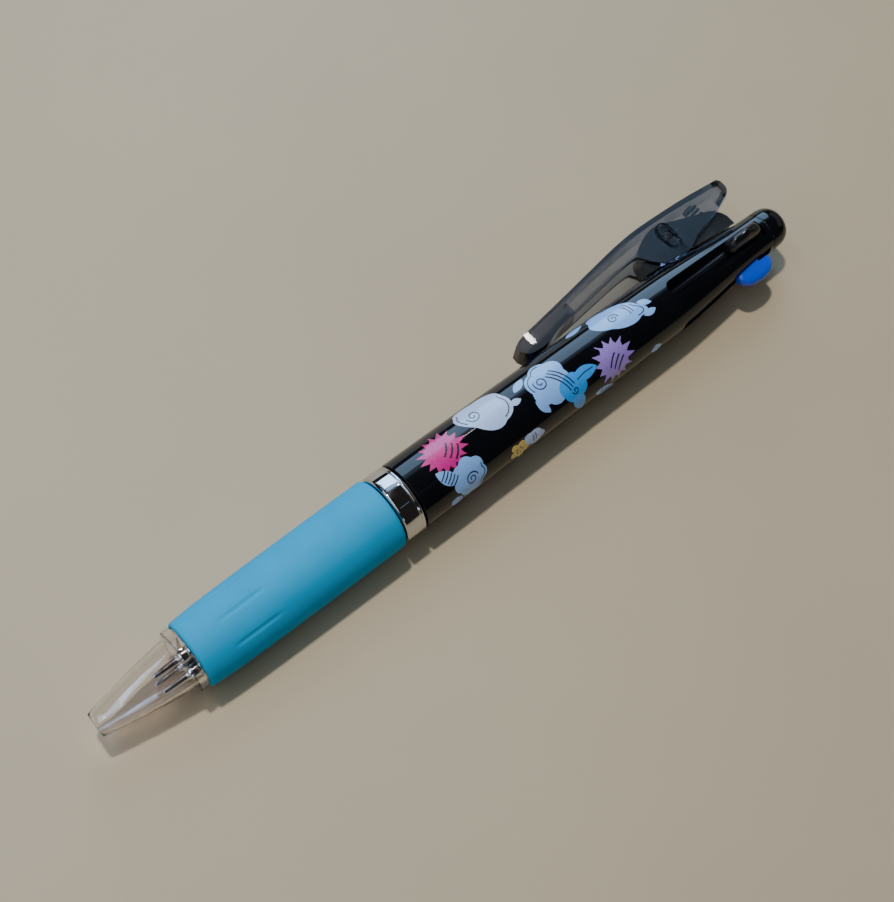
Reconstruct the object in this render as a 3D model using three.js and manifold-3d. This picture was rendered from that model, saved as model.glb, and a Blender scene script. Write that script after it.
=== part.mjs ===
// Three-colour click pen, lying on its side. Millimetres, +X from the writing end to the rear,
// +Z up, +Y towards the clip. Each colour has a slider in a slot near the rear: pushing it forward
// bends that colour's refill towards the middle of the nose and out through the nose hole.
//
// Everything is drawn in pen coordinates first, with x = 0 at the nose face and the pen's axis on
// the X axis. The pen group at the end moves the whole pen so that its bottom stands on z = 0.

import * as THREE from "three";
import { mergeVertices } from "three/addons/utils/BufferGeometryUtils.js";
import Module from "manifold-3d";

// ---- driving dimensions ----

const PEN_LENGTH = 145;
const CLEARANCE = 0.3; // between neighbours that are cut to fit each other
const ROUND = 32; // sides of the large turned pieces
const SLIM = 12; // sides of the refills, pins and rods

// front barrel: clear nose, flange and the tube that carries the grip
const NOSE_TIP_R = 2.05;
const NOSE_BACK_R = 4.5;
const NOSE_LENGTH = 15.2;
const NOSE_SWELL = [7, 3.56]; // control point of the nose outline
const NOSE_HOLE_R = 1.58;
const NOSE_HOLE_LENGTH = 0.9;
const NOSE_THROAT = [4.6, 2.55]; // where the nose cavity opens out behind the hole
const CAVITY_R = 3.8;
const CAVITY_START = 14.5;
const FLANGE_R = 5.4;
const FLANGE_END = 16.6;
const GRIP_TUBE_R = 5;
const THREAD_R = 4.5;
const THREAD_END = 64;
const THREAD_FIT = 0.06;

// grip sleeve
const GRIP_START = 16.8;
const GRIP_END = 54.2;
const GRIP_OUTLINE = [
  [17.9, 5.78], [20, 5.93], [24, 6.06], [30, 6.15], [38, 6.21], [46, 6.25], [53.2, 6.27],
];
const GRIP_BORE_R = 5.06;
const GRIP_EDGE = 0.8;
const FLUTES = 8;
const FLUTE_FROM = 22.5;
const FLUTE_TO = 31;
const FLUTE_R = 1.3;
const FLUTE_DEPTH = 0.28;

// chrome ring and the threaded coupling inside it
const RING_START = 54.4;
const RING_END = 58.1;
const RING_R = 6.15;
const COUPLING_START = 54.6;
const COUPLING_R = 5;
const COLLAR_END = 58.4;
const COLLAR_R = 5.5;
const COUPLING_END = 65.6;

// rear barrel
const BARREL_START = 58.5;
const BARREL_END = 140.2;
const BARREL_OUTSIDE = [
  [66, 6.1], [76, 5.97], [88, 5.84], [102, 5.7], [116, 5.55], [124, 5.05], [131, 4.42], [136, 4.02],
];
const BARREL_FRONT_R = 6.1;
const BARREL_REAR_R = 3.8;
const BARREL_BORE = [[137, 3.05], [131, 3.5], [124, 4.15], [116, 4.6], [110, 4.8]];
const BARREL_BORE_R = 4.9;
const SOCKET_R = 5.06; // where the coupling is held
const SLOT_WIDTH = 3;
const SLOT_START = 116;
const SLOT_END = 139.2;

// end cap
const CAP_START = 140.4;
const CAP_PLUG_START = 137.3;
const CAP_PLUG_R = 2.9;
const CAP_BAND = 0.8; // straight part in front of the dome
const CAP_FULLNESS = 0.7; // below 1, so that the dome is fuller than an ellipse
const CAP_SOCKET_R = 1.05;
const CAP_SOCKET_END = 139.3;

// refills and sliders: one each way round the axis, with the clip taking the fourth place
const COLOURS = [
  { name: "black", turn: 0, knob: 0x111214, ink: 0x17171c },
  { name: "blue", turn: Math.PI / 2, knob: 0x1f5fd0, ink: 0x1a37a8 },
  { name: "red", turn: Math.PI, knob: 0xd02a2c, ink: 0xb0181c },
];
const REFILL_OFFSET = 2.2; // from the pen's axis to a refill's axis
const BALL_R = 0.35;
const BALL_FRONT = 10.4;
const TIP_R = 0.6;
const TIP_CONE = 2.4;
const TIP_END = 17.6;
const TUBE_START = 15.4;
const TUBE_END = 111.4;
const TUBE_R = 1.1;
const TUBE_BORE_R = 0.8;
const TUBE_FIT = 0.08; // round the metal tip where it enters the tube
const INK_END = 88;
const INK_R = 0.74;

const ROD_R = 0.9;
const ROD_FRONT = 112;
const ROD_END = 136.8;
const ROD_FLANGE_R = 1.4;
const ROD_FLANGE = 1;
const STUB_R = 0.72;
const STUB_START = 105;
const KNOB_START = 130.4;
const KNOB_END = 138.2;
const KNOB_TOP = 7;
const KNOB_BOTTOM = 4.2;
const KNOB_FLAT = 3;
const KNOB_SIDE = 2.4; // height of its rounded shoulders
const KNOB_WIDTH = 2.5;
const STEM_START = 131.1;
const STEM_END = 135.7;

// return springs, their seat and the guide of the sliders
const SEAT_START = 83;
const SEAT_END = 86;
const SEAT_R = 4.84;
const SEAT_HOLE_R = 1.24;
const SPRING_R = 1.35;
const SPRING_WIRE_R = 0.13;
const SPRING_TURNS = 8;
const GUIDE_START = 113.4;
const GUIDE_PLATE = 1.6;
const GUIDE_R = 4.5;
const GUIDE_HOLE_R = 1.1;
const GUIDE_ROD_R = 0.9;
const GUIDE_END = 139.1;
const FIN_WIDTH = 0.7;
const FIN_OUTLINE = [[114, 0], [114, 4.35], [116, 4.3], [124, 3.85], [131, 3.2], [136, 2.85], [136, 0]];

// clip lever, its mount, pin and spring; the second number is the height above the pen's axis
const PIVOT = [125, 8.7];
const PIN_R = 0.75;
const PIN_HOLE_R = 0.9;
const PIN_LENGTH = 7.2;
const CLIP_TOP = [
  [89.8, 8.8], [91.8, 9.5], [98.6, 10.35], [103.8, 11], [109, 11.8], [113.2, 12.45], [117.2, 12.9],
  [122, 13.1], [131.4, 12.7], [140.3, 12],
];
const CLIP_EAR = [
  [140.75, 11.4], [140.4, 9.5], [138, 7.85], [133.3, 6.6], [129.1, 5.6], [126.8, 4.5], [124, 3.8],
  [121.2, 4.15], [118.9, 6.2], [117.7, 8.1],
];
const CLIP_FOOT = [
  [116.4, 8.8], [110.6, 8.35], [101.4, 7.3], [98, 6.9], [95.6, 6.15], [94.2, 5.95], [92.2, 5.95], [90.6, 6.4],
  [89.7, 7.6],
];
const CLIP_PLAN = [
  [89, 2], [90.6, 2.5], [96, 2.75], [104, 3.1], [112, 3.5], [118, 3.9], [132, 3.9], [139, 3.65], [141, 3.3],
]; // half the clip's width along it
const CLIP_WALL = 1.15;
const CHANNEL_TOP = [
  [102.2, 9.6], [103, 10.2], [113, 11.5], [120.6, 12.1], [127, 12.1], [132.5, 11.7], [139.6, 11.1],
];
const EAR_ROOM_START = 112;
const EAR_CLEARANCE = 0.4;
const MOUNT_WIDTH = 4.2;
const MOUNT_FRONT = 117.6;
const MOUNT_TOP = [
  [117.8, 7.4], [118.6, 9.4], [120.7, 10.75], [123.7, 11.6], [126.2, 11.2], [129.9, 9.8], [133, 8.35],
  [135.9, 7.15], [137, 5.6],
];
const CLIP_SPRING_AT = 133.4;
const CLIP_SPRING_START = 6.5;
const CLIP_SPRING_TOP = 11.3;
const CLIP_SPRING_R = 1.25;
const CLIP_SPRING_WIRE_R = 0.2;
const CLIP_SPRING_TURNS = 5;
const SPRING_POCKET_R = 1.65;

// ---- solids ----

const wasm = await Module();
wasm.setup();

// One closed geometry with shared vertices and its faces pointing out.
function closed(geometry) {
  geometry.deleteAttribute("normal");
  geometry.deleteAttribute("uv");
  const merged = mergeVertices(geometry, 1e-5);
  const solid = withoutSlivers(merged);
  if (volumeOf(solid) < 0) {
    flip(solid);
  }
  return solid;
}

// Triangles that lost a corner to merging, such as those at a lathe's axis, are dropped.
function withoutSlivers(geometry) {
  const kept = [];
  const index = geometry.getIndex().array;
  for (let i = 0; i < index.length; i += 3) {
    const [a, b, c] = [index[i], index[i + 1], index[i + 2]];
    if (a !== b && b !== c && c !== a) {
      kept.push(a, b, c);
    }
  }
  geometry.setIndex(kept);
  return geometry;
}

function volumeOf(geometry) {
  const position = geometry.getAttribute("position");
  const index = geometry.getIndex().array;
  const corners = [new THREE.Vector3(), new THREE.Vector3(), new THREE.Vector3()];
  let volume = 0;
  for (let i = 0; i < index.length; i += 3) {
    corners.forEach((corner, k) => corner.fromBufferAttribute(position, index[i + k]));
    volume += corners[0].dot(corners[1].cross(corners[2])) / 6;
  }
  return volume;
}

function flip(geometry) {
  const index = geometry.getIndex().array;
  for (let i = 0; i < index.length; i += 3) {
    [index[i + 1], index[i + 2]] = [index[i + 2], index[i + 1]];
  }
}

// For cutting and joining.
function solidOf(geometry) {
  const whole = closed(geometry);
  const vertProperties = new Float32Array(whole.getAttribute("position").array);
  const triVerts = new Uint32Array(whole.getIndex().array);
  return new wasm.Manifold(new wasm.Mesh({ numProp: 3, vertProperties, triVerts }));
}

function geometryOf(solid) {
  const mesh = solid.getMesh();
  const geometry = new THREE.BufferGeometry();
  geometry.setAttribute("position", new THREE.BufferAttribute(mesh.vertProperties, 3));
  geometry.setIndex(new THREE.BufferAttribute(mesh.triVerts, 1));
  return geometry;
}

function joined(...solids) {
  return solids.reduce((whole, solid) => whole.add(solid));
}

function cut(solid, ...tools) {
  return tools.reduce((left, tool) => left.subtract(tool), solid);
}

// A turned piece about the X axis. The outline's points are [x, radius], from axis to axis.
function turned(outline, sides = ROUND) {
  const points = outline.map(([x, r]) => new THREE.Vector2(r, x));
  return new THREE.LatheGeometry(points, sides).rotateZ(-Math.PI / 2);
}

// The same, for a hollow piece whose outline closes on itself.
function turnedRing(outline, sides = ROUND) {
  return turned([...outline, outline[0]], sides);
}

// A plate whose outline [x, height] is drawn in the plane of the X axis and the clip, and which
// is as wide as width across it.
function plate(outline, width, holes = []) {
  const shape = new THREE.Shape(outline.map(([x, h]) => new THREE.Vector2(x, h)));
  holes.forEach(([x, h, r]) => shape.holes.push(new THREE.Path().absarc(x, h, r, 0, 2 * Math.PI)));
  const geometry = new THREE.ExtrudeGeometry(shape, {
    depth: width,
    bevelEnabled: false,
    curveSegments: SLIM,
  });
  return geometry.translate(0, 0, -width / 2);
}

// The same plate in the plane of the X axis and +Z, which is where a slider is drawn.
function uprightPlate(outline, width) {
  return plate(outline, width).rotateX(Math.PI / 2);
}

// A disc across the pen's axis with one hole for each refill.
function guideDisc(start, thickness, radius, holeRadius) {
  const shape = new THREE.Shape().absarc(0, 0, radius, 0, 2 * Math.PI);
  COLOURS.forEach(({ turn }) => {
    const across = Math.cos(turn) * REFILL_OFFSET;
    const along = -Math.sin(turn) * REFILL_OFFSET;
    shape.holes.push(new THREE.Path().absarc(-across, along, holeRadius, 0, 2 * Math.PI));
  });
  const options = { depth: thickness, bevelEnabled: false, curveSegments: SLIM + 8 };
  return new THREE.ExtrudeGeometry(shape, options).rotateY(Math.PI / 2).translate(start, 0, 0);
}

function rod(radius, start, end, sides = SLIM) {
  return turned([[start, 0], [start, radius], [end, radius], [end, 0]], sides);
}

// Points of an arc in an outline. The angles are in degrees from +X towards the height.
function arc(centre, radius, from, to, steps) {
  const points = [];
  for (let i = 0; i <= steps; i += 1) {
    const angle = THREE.MathUtils.degToRad(from + ((to - from) * i) / steps);
    points.push([centre[0] + radius * Math.cos(angle), centre[1] + radius * Math.sin(angle)]);
  }
  return points;
}

// A smooth line through the given points, as [x, height] pairs.
function smooth(points, steps) {
  const curve = new THREE.SplineCurve(points.map(([x, h]) => new THREE.Vector2(x, h)));
  return curve.getPoints(steps).map(({ x, y }) => [x, y]);
}

class Helix extends THREE.Curve {
  constructor(radius, height, turns) {
    super();
    this.radius = radius;
    this.height = height;
    this.turns = turns;
  }

  getPoint(t, target = new THREE.Vector3()) {
    const angle = 2 * Math.PI * this.turns * t;
    return target.set(
      this.height * t,
      this.radius * Math.cos(angle),
      this.radius * Math.sin(angle),
    );
  }
}

// A coil along X from start to end, measured over the wire.
function coil(radius, wireRadius, start, end, turns, stepsPerTurn = 8) {
  const height = end - start - 2 * wireRadius;
  const section = new THREE.Shape().absarc(0, 0, wireRadius, 0, 2 * Math.PI);
  const geometry = new THREE.ExtrudeGeometry(section, {
    steps: turns * stepsPerTurn,
    extrudePath: new Helix(radius, height, turns),
    curveSegments: 2,
  });
  return geometry.translate(start + wireRadius, 0, 0);
}

// ---- materials ----

function finish(color, roughness, metalness = 0, opacity = 1) {
  return new THREE.MeshStandardMaterial({
    color,
    roughness,
    metalness,
    opacity,
    transparent: opacity < 1,
  });
}

const clearPlastic = () => finish(0xe6ebee, 0.08, 0, 0.3);
const smokePlastic = () => finish(0x6e7078, 0.12, 0, 0.5);
const blackGloss = () => finish(0x0b0c0e, 0.15);
const blackPlastic = () => finish(0x16171a, 0.4);
const rubber = () => finish(0x03bae8, 0.55);
const chrome = () => finish(0xd9d9db, 0.08, 1);
const steel = () => finish(0xc4c6ca, 0.25, 1);
const whitePlastic = () => finish(0xdcdcd8, 0.45);

function piece(name, geometry, material) {
  const mesh = new THREE.Mesh(geometry, material);
  mesh.name = name;
  return mesh;
}

// ---- front of the pen ----

function noseOutside() {
  const face = new THREE.Vector2(0.35, NOSE_TIP_R + 0.08);
  const back = new THREE.Vector2(NOSE_LENGTH, NOSE_BACK_R);
  const swell = new THREE.Vector2(...NOSE_SWELL);
  const curve = new THREE.QuadraticBezierCurve(face, swell, back);
  return curve.getPoints(6).map(({ x, y }) => [x, y]);
}

function frontBarrel() {
  const outline = [
    [0, NOSE_HOLE_R],
    [0, NOSE_TIP_R - 0.1],
    [0.12, NOSE_TIP_R],
    ...noseOutside(),
    [NOSE_LENGTH, FLANGE_R - 0.2],
    [NOSE_LENGTH + 0.2, FLANGE_R],
    [FLANGE_END, FLANGE_R],
    [FLANGE_END, GRIP_TUBE_R],
    [RING_START - 0.2, GRIP_TUBE_R],
    [RING_START - 0.2, THREAD_R],
    [THREAD_END, THREAD_R],
    [THREAD_END, CAVITY_R],
    [CAVITY_START, CAVITY_R],
    NOSE_THROAT,
    [NOSE_HOLE_LENGTH, NOSE_HOLE_R],
  ];
  return piece("front_barrel", closed(turnedRing(outline)), clearPlastic());
}

// One flute is a shallow groove along the grip, cut by a round-ended bar.
function fluteCutter(turn) {
  const middle = (FLUTE_FROM + FLUTE_TO) / 2;
  const radius = GRIP_OUTLINE[2][1] + FLUTE_R - FLUTE_DEPTH;
  const straight = FLUTE_TO - FLUTE_FROM - 2 * FLUTE_R;
  const bar = new THREE.CapsuleGeometry(FLUTE_R, straight, 4, 12);
  return solidOf(bar.rotateZ(Math.PI / 2).translate(middle, 0, radius).rotateX(turn));
}

function gripSleeve() {
  const outline = [
    [GRIP_START, GRIP_BORE_R],
    ...arc([GRIP_START + GRIP_EDGE, GRIP_OUTLINE[0][1] - GRIP_EDGE], GRIP_EDGE, 170, 110, 3),
    ...GRIP_OUTLINE,
    ...arc([GRIP_END - GRIP_EDGE, GRIP_OUTLINE.at(-1)[1] - GRIP_EDGE], GRIP_EDGE, 75, 0, 3),
    [GRIP_END, GRIP_BORE_R],
  ];
  const flutes = Array.from({ length: FLUTES }, (_, i) => fluteCutter((2 * Math.PI * i) / FLUTES));
  const sleeve = cut(solidOf(turnedRing(outline)), ...flutes);
  return piece("grip_sleeve", geometryOf(sleeve), rubber());
}

function chromeRing() {
  const outline = [
    [RING_START, GRIP_BORE_R],
    [RING_START, RING_R - 0.25],
    [RING_START + 0.2, RING_R - 0.05],
    [RING_START + 0.7, RING_R],
    [RING_END - 0.7, RING_R],
    [RING_END - 0.2, RING_R - 0.05],
    [RING_END, RING_R - 0.25],
    [RING_END, GRIP_BORE_R],
  ];
  return piece("chrome_ring", closed(turnedRing(outline)), chrome());
}

function coupling() {
  const outline = [
    [COUPLING_START, THREAD_R + THREAD_FIT],
    [COUPLING_START, COUPLING_R],
    [RING_END + 0.1, COUPLING_R],
    [RING_END + 0.1, COLLAR_R],
    [COLLAR_END, COLLAR_R],
    [COLLAR_END, COUPLING_R],
    [COUPLING_END, COUPLING_R],
    [COUPLING_END, THREAD_R + THREAD_FIT],
  ];
  return piece("threaded_coupling", closed(turnedRing(outline)), blackPlastic());
}

// ---- rear of the pen ----

function barrelOutside(extra = 0) {
  const front = [BARREL_START + 0.4, BARREL_FRONT_R];
  const points = [front, ...BARREL_OUTSIDE, [BARREL_END, BARREL_REAR_R]];
  return smooth(points, 11).map(([x, r]) => [x, r + extra]);
}

function slotCutter(turn) {
  const half = SLOT_WIDTH / 2;
  const shape = new THREE.Shape();
  shape.absarc(SLOT_START + half, 0, half, Math.PI / 2, (3 * Math.PI) / 2);
  shape.lineTo(SLOT_END, -half);
  shape.lineTo(SLOT_END, half);
  const options = { depth: 2 * BARREL_FRONT_R, bevelEnabled: false, curveSegments: 8 };
  return solidOf(new THREE.ExtrudeGeometry(shape, options).translate(0, 0, 1).rotateX(turn));
}

function rearBarrel() {
  const outline = [
    [BARREL_START, SOCKET_R],
    [BARREL_START, BARREL_FRONT_R - 0.25],
    ...barrelOutside(),
    [BARREL_END, BARREL_BORE[0][1]],
    ...BARREL_BORE,
    [106, BARREL_BORE_R],
    [COUPLING_END + 0.4, BARREL_BORE_R],
    [COUPLING_END + 0.4, SOCKET_R],
  ];
  const tube = solidOf(turnedRing(outline));
  const slots = COLOURS.map(({ turn }) => slotCutter(turn));
  return piece("rear_barrel", geometryOf(cut(tube, ...slots)), blackGloss());
}

function endCap() {
  const dome = PEN_LENGTH - CAP_START;
  const rounding = arc([0, 0], 1, 0, 90, 6).map(([across, along]) => [
    CAP_START + CAP_BAND + (dome - CAP_BAND) * along ** CAP_FULLNESS,
    BARREL_REAR_R * Math.max(across, 0) ** CAP_FULLNESS,
  ]);
  rounding.at(-1)[1] = 0;
  const outline = [
    [CAP_SOCKET_END, 0],
    [CAP_SOCKET_END, CAP_SOCKET_R],
    [CAP_PLUG_START, CAP_SOCKET_R],
    [CAP_PLUG_START, CAP_PLUG_R],
    [CAP_START, CAP_PLUG_R],
    [CAP_START, BARREL_REAR_R],
    ...rounding,
  ];
  return piece("end_cap", closed(turned(outline)), blackGloss());
}

function springSeat() {
  const disc = guideDisc(SEAT_START, SEAT_END - SEAT_START, SEAT_R, SEAT_HOLE_R);
  return piece("spring_seat", closed(disc), whitePlastic());
}

// The sliders' guide: a disc with holes for their rods, a middle rod that plugs into the end cap
// and a fin between each two sliders.
function sliderGuide() {
  const disc = solidOf(guideDisc(GUIDE_START, GUIDE_PLATE, GUIDE_R, GUIDE_HOLE_R));
  const middle = solidOf(rod(GUIDE_ROD_R, GUIDE_START + 0.2, GUIDE_END));
  const fins = [1, 3, 5, 7].map((eighth) =>
    solidOf(uprightPlate(FIN_OUTLINE, FIN_WIDTH).rotateX((eighth * Math.PI) / 4)),
  );
  return piece("slider_guide", geometryOf(joined(disc, middle, ...fins)), blackPlastic());
}

// ---- one colour: everything here is drawn above the pen's axis, towards +Z ----

function knobOutline() {
  const flatStart = (KNOB_START + KNOB_END - KNOB_FLAT) / 2;
  const round = flatStart - KNOB_START;
  const side = (middle, from, to) =>
    arc([0, 0], 1, from, to, 5).map(([c, s]) => [
      middle + round * c,
      KNOB_TOP - KNOB_SIDE + KNOB_SIDE * s,
    ]);
  return [
    [STEM_START, REFILL_OFFSET],
    [STEM_START, KNOB_BOTTOM],
    [KNOB_START, KNOB_BOTTOM],
    ...side(flatStart, 180, 90),
    ...side(flatStart + KNOB_FLAT, 90, 0),
    [KNOB_END, KNOB_BOTTOM],
    [STEM_END, KNOB_BOTTOM],
    [STEM_END, REFILL_OFFSET],
  ];
}

function slider({ name, knob }) {
  const shaft = turned([
    [STUB_START, 0],
    [STUB_START, STUB_R - 0.15],
    [STUB_START + 0.6, STUB_R],
    [ROD_FRONT, STUB_R],
    [ROD_FRONT, ROD_FLANGE_R],
    [ROD_FRONT + ROD_FLANGE, ROD_FLANGE_R],
    [ROD_FRONT + ROD_FLANGE, ROD_R],
    [ROD_END, ROD_R],
    [ROD_END, 0],
  ], SLIM);
  const whole = joined(
    solidOf(shaft.translate(0, 0, REFILL_OFFSET)),
    solidOf(uprightPlate(knobOutline(), KNOB_WIDTH)),
  );
  return piece(`slider_${name}`, geometryOf(whole), finish(knob, 0.3));
}

function refillTube({ name }) {
  const outline = [
    [TUBE_START, TIP_R + TUBE_FIT],
    [TUBE_START, TUBE_R - 0.15],
    [TUBE_START + 0.5, TUBE_R],
    [TUBE_END, TUBE_R],
    [TUBE_END, TUBE_BORE_R],
    [TIP_END + 0.2, TUBE_BORE_R],
    [TIP_END + 0.2, TIP_R + TUBE_FIT],
  ];
  const tube = turnedRing(outline, SLIM).translate(0, 0, REFILL_OFFSET);
  return piece(`refill_tube_${name}`, closed(tube), finish(0xe4e6e2, 0.35, 0, 0.6));
}

function refillTip({ name }) {
  const seat = BALL_FRONT + 2 * BALL_R + 0.05;
  const outline = [
    [seat, 0],
    [BALL_FRONT + BALL_R + 0.1, BALL_R + 0.03],
    [BALL_FRONT + BALL_R, BALL_R + 0.05],
    [BALL_FRONT + TIP_CONE, TIP_R - 0.04],
    [BALL_FRONT + TIP_CONE + 0.5, TIP_R],
    [TIP_END, TIP_R],
    [TIP_END, 0],
  ];
  const tip = turned(outline, SLIM).translate(0, 0, REFILL_OFFSET);
  return piece(`refill_tip_${name}`, closed(tip), steel());
}

function refillBall({ name }) {
  const ball = new THREE.SphereGeometry(BALL_R - 0.03, 10, 8);
  ball.translate(BALL_FRONT + BALL_R, 0, REFILL_OFFSET);
  return piece(`refill_ball_${name}`, closed(ball), steel());
}

function refillInk({ name, ink }) {
  const column = rod(INK_R, TIP_END + 0.3, INK_END, 12).translate(0, 0, REFILL_OFFSET);
  return piece(`refill_ink_${name}`, closed(column), finish(ink, 0.3));
}

function returnSpring({ name }) {
  const spring = coil(SPRING_R, SPRING_WIRE_R, SEAT_END + 0.1, ROD_FRONT - 0.1, SPRING_TURNS);
  spring.translate(0, 0, REFILL_OFFSET);
  return piece(`return_spring_${name}`, closed(spring), steel());
}

function colourSet(colour) {
  const set = new THREE.Group();
  set.add(slider(colour), refillTube(colour), refillInk(colour));
  set.add(refillTip(colour), refillBall(colour), returnSpring(colour));
  set.rotation.x = colour.turn;
  return set;
}

// ---- clip, drawn towards +Y ----

// The room that the barrel needs, from start to its rear end.
function barrelRoom(start, clearance) {
  const line = barrelOutside(clearance).filter(([x]) => x > start);
  return solidOf(turned([[line[0][0], 0], ...line, [BARREL_END, 0]]));
}

// Everything within the clip's width, less the inset on each side.
function clipWidth(inset = 0) {
  const near = CLIP_PLAN.map(([x, half]) => [x, half - inset]);
  const far = near.map(([x, half]) => [x, -half]).reverse();
  return solidOf(uprightPlate([...near, ...far], 4 * KNOB_TOP));
}

function clipTop() {
  return smooth(CLIP_TOP, 18);
}

function clipLever() {
  const outline = [...clipTop(), ...smooth(CLIP_EAR, 22), ...CLIP_FOOT];
  const pinHole = [...PIVOT, PIN_HOLE_R];
  const side = solidOf(plate(outline, 2 * KNOB_TOP, [pinHole])).intersect(clipWidth());
  const channel = [...CHANNEL_TOP, [CHANNEL_TOP.at(-1)[0], 0], [CHANNEL_TOP[0][0], 0]];
  const hollow = solidOf(plate(channel, 2 * KNOB_TOP)).intersect(clipWidth(CLIP_WALL));
  const lever = cut(side, hollow, barrelRoom(EAR_ROOM_START, EAR_CLEARANCE));
  return piece("clip_lever", geometryOf(lever), smokePlastic());
}

// The mount's underside follows the barrel, and the clip's spring stands in a pocket.
function clipMount() {
  const outline = [[MOUNT_FRONT, 0], ...smooth(MOUNT_TOP, 18), [MOUNT_TOP.at(-1)[0], 0]];
  const block = solidOf(plate(outline, MOUNT_WIDTH, [[...PIVOT, PIN_HOLE_R]]));
  const pocket = rod(SPRING_POCKET_R, CLIP_SPRING_START - 0.1, 2 * KNOB_TOP, 20);
  pocket.rotateZ(Math.PI / 2).translate(CLIP_SPRING_AT, 0, 0);
  const mount = cut(block, barrelRoom(BARREL_START, CLEARANCE), solidOf(pocket));
  return piece("clip_mount", geometryOf(mount), blackGloss());
}

function clipPin() {
  const pin = new THREE.CylinderGeometry(PIN_R, PIN_R, PIN_LENGTH, SLIM);
  pin.rotateX(Math.PI / 2).translate(...PIVOT, 0);
  return piece("clip_pin", closed(pin), steel());
}

function clipSpring() {
  const spring = coil(
    CLIP_SPRING_R,
    CLIP_SPRING_WIRE_R,
    CLIP_SPRING_START,
    CLIP_SPRING_TOP,
    CLIP_SPRING_TURNS,
  );
  spring.rotateZ(Math.PI / 2).translate(CLIP_SPRING_AT, 0, 0);
  return piece("clip_spring", closed(spring), steel());
}

// ---- the whole pen ----

const pen = new THREE.Group();
pen.add(frontBarrel(), gripSleeve(), chromeRing(), coupling());
pen.add(rearBarrel(), endCap(), springSeat(), sliderGuide());
COLOURS.forEach((colour) => pen.add(colourSet(colour)));
pen.add(clipLever(), clipMount(), clipPin(), clipSpring());

// The origin is under the middle of the pen's box: the blue knob and the clip's back are its two
// sides, and the red knob's flat face is its bottom.
const clipReach = Math.max(...clipTop().map(([, height]) => height));
pen.position.set(-PEN_LENGTH / 2, -(clipReach - KNOB_TOP) / 2, KNOB_TOP);

const model = new THREE.Group();
model.add(pen);

export default model;
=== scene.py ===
"""Looks of the three-colour click pen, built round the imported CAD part.

Shapes are drawn in pen millimetres: x runs back from the nose face, y towards the clip and z up,
all from the pen's axis. settle() then moves each finished mesh to the row frame, in metres.
"""

import contextlib
import math
from math import cos, pi, radians, sin

import bmesh
import bpy
from mathutils import Matrix, Vector
from mathutils.geometry import delaunay_2d_cdt


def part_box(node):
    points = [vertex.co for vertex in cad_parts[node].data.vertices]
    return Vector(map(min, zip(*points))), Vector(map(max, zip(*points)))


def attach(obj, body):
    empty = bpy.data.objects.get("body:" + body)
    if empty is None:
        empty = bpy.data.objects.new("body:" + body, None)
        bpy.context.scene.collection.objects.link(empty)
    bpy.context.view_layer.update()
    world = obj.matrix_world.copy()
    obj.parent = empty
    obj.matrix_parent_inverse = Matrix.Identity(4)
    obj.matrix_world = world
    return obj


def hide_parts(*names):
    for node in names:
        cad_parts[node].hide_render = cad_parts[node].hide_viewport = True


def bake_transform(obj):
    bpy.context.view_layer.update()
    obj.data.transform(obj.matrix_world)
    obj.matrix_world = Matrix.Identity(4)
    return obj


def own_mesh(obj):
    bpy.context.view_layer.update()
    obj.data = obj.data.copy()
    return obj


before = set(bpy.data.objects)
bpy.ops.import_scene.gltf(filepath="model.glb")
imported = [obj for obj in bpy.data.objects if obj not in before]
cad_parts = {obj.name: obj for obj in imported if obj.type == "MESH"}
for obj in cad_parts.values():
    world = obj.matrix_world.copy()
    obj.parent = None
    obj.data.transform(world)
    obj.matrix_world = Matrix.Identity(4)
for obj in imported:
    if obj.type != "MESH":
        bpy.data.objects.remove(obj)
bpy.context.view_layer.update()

# ---- the frame's places, in pen millimetres ----

MM = 0.001
front_low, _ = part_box("front_barrel")
rear_low, rear_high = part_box("rear_barrel")
NOSE = Vector((front_low.x, (rear_low.y + rear_high.y) / 2, (rear_low.z + rear_high.z) / 2))
TO_ROW = Matrix.Translation(NOSE) @ Matrix.Scale(MM, 4)


def place(x, y=0.0, z=0.0):
    """A point in pen millimetres as a point of the row frame."""
    return TO_ROW @ Vector((x, y, z))


def span(node):
    """Where a CAD node starts and ends along the pen."""
    low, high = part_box(node)
    return (low.x - NOSE.x) / MM, (high.x - NOSE.x) / MM


def reach(node):
    """How far a CAD node rises above the pen's axis."""
    return (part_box(node)[1].z - NOSE.z) / MM


COLOURS = {"black": 0.0, "blue": pi / 2, "red": pi}  # turn about the pen's axis
REFILL_OFFSET = 2.2  # from the pen's axis
SLEEVE_BORE_R = 5.06  # grip, ring and barrel slip over the clear tube
ROUND = 128  # sides of the large turned pieces
SLIM = 40  # sides of the refills and pins

_, CLEAR_END = span("front_barrel")
GRIP_START, GRIP_END = span("grip_sleeve")
GRIP_R = reach("grip_sleeve")
RING_START, RING_END = span("chrome_ring")
RING_R = reach("chrome_ring")
BARREL_START, BARREL_END = span("rear_barrel")
BARREL_R = reach("rear_barrel")
CAP_START, PEN_END = span("end_cap")

# the barrel's outside: (x, radius)
BARREL_LINE = [
    (BARREL_START + 0.4, BARREL_R), (66, 6.1), (76, 5.97), (88, 5.84), (102, 5.7), (116, 5.55),
    (124, 5.05), (131, 4.42), (136, 4.02), (BARREL_END, 3.8),
]
SLOT_WIDTH = 3.0
SLOT_START = 116.0
SLOT_END = 139.2
PIVOT = (125.0, 8.7)  # the clip's hinge: x and y


# ---- outlines ----


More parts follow.
